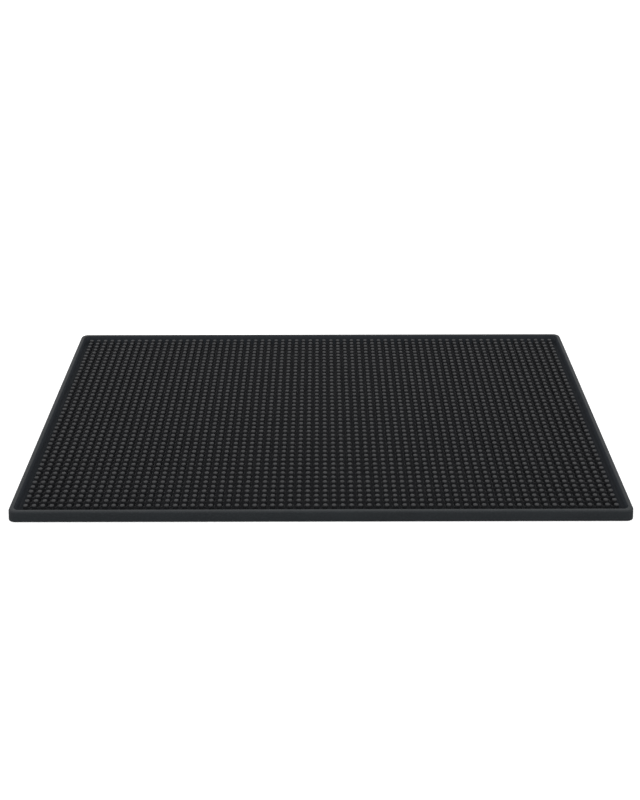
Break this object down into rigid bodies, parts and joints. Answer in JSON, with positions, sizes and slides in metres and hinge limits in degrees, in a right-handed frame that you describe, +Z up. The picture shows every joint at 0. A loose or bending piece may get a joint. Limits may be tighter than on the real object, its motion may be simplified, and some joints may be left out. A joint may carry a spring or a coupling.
{
  "type": "bar service mat",
  "caption": "Black rubber bar service mat: a shallow rectangular tray with a raised rim and a close grid of round studs that hold glasses above spills.",
  "frame": {"origin": "centre of the underside, on the surface that the mat lies on", "axes": "+X along the mat's length, +Y to its back edge, +Z up through the studs"},
  "size_m": [0.45, 0.3034, 0.0085],
  "materials": {
    "floor_rubber": "matte, finely grained",
    "rim_rubber": "smooth, soft sheen",
    "stud_rubber": "satin moulded"
  },
  "bodies": {
    "root": {"floor_sheet": "floor_rubber", "rim_front": "rim_rubber", "rim_back": "rim_rubber", "rim_left": "rim_rubber", "rim_right": "rim_rubber", "corner_front_left": "rim_rubber", "corner_front_right": "rim_rubber", "corner_back_left": "rim_rubber", "corner_back_right": "rim_rubber", "stud_row_01": "stud_rubber", "stud_row_02": "stud_rubber", "stud_row_03": "stud_rubber", "stud_row_04": "stud_rubber", "stud_row_05": "stud_rubber", "stud_row_06": "stud_rubber", "stud_row_07": "stud_rubber", "stud_row_08": "stud_rubber", "stud_row_09": "stud_rubber", "stud_row_10": "stud_rubber", "stud_row_11": "stud_rubber", "stud_row_12": "stud_rubber", "stud_row_13": "stud_rubber", "stud_row_14": "stud_rubber", "stud_row_15": "stud_rubber", "stud_row_16": "stud_rubber", "stud_row_17": "stud_rubber", "stud_row_18": "stud_rubber", "stud_row_19": "stud_rubber", "stud_row_20": "stud_rubber", "stud_row_21": "stud_rubber", "stud_row_22": "stud_rubber", "stud_row_23": "stud_rubber", "stud_row_24": "stud_rubber", "stud_row_25": "stud_rubber", "stud_row_26": "stud_rubber", "stud_row_27": "stud_rubber", "stud_row_28": "stud_rubber", "stud_row_29": "stud_rubber", "stud_row_30": "stud_rubber", "stud_row_31": "stud_rubber", "stud_row_32": "stud_rubber", "stud_row_33": "stud_rubber", "stud_row_34": "stud_rubber", "stud_row_35": "stud_rubber", "stud_row_36": "stud_rubber", "stud_row_37": "stud_rubber", "stud_row_38": "stud_rubber", "stud_row_39": "stud_rubber", "stud_row_40": "stud_rubber", "stud_row_41": "stud_rubber", "stud_row_42": "stud_rubber", "stud_row_43": "stud_rubber", "stud_row_44": "stud_rubber", "stud_row_45": "stud_rubber"}
  },
  "joints": []
}
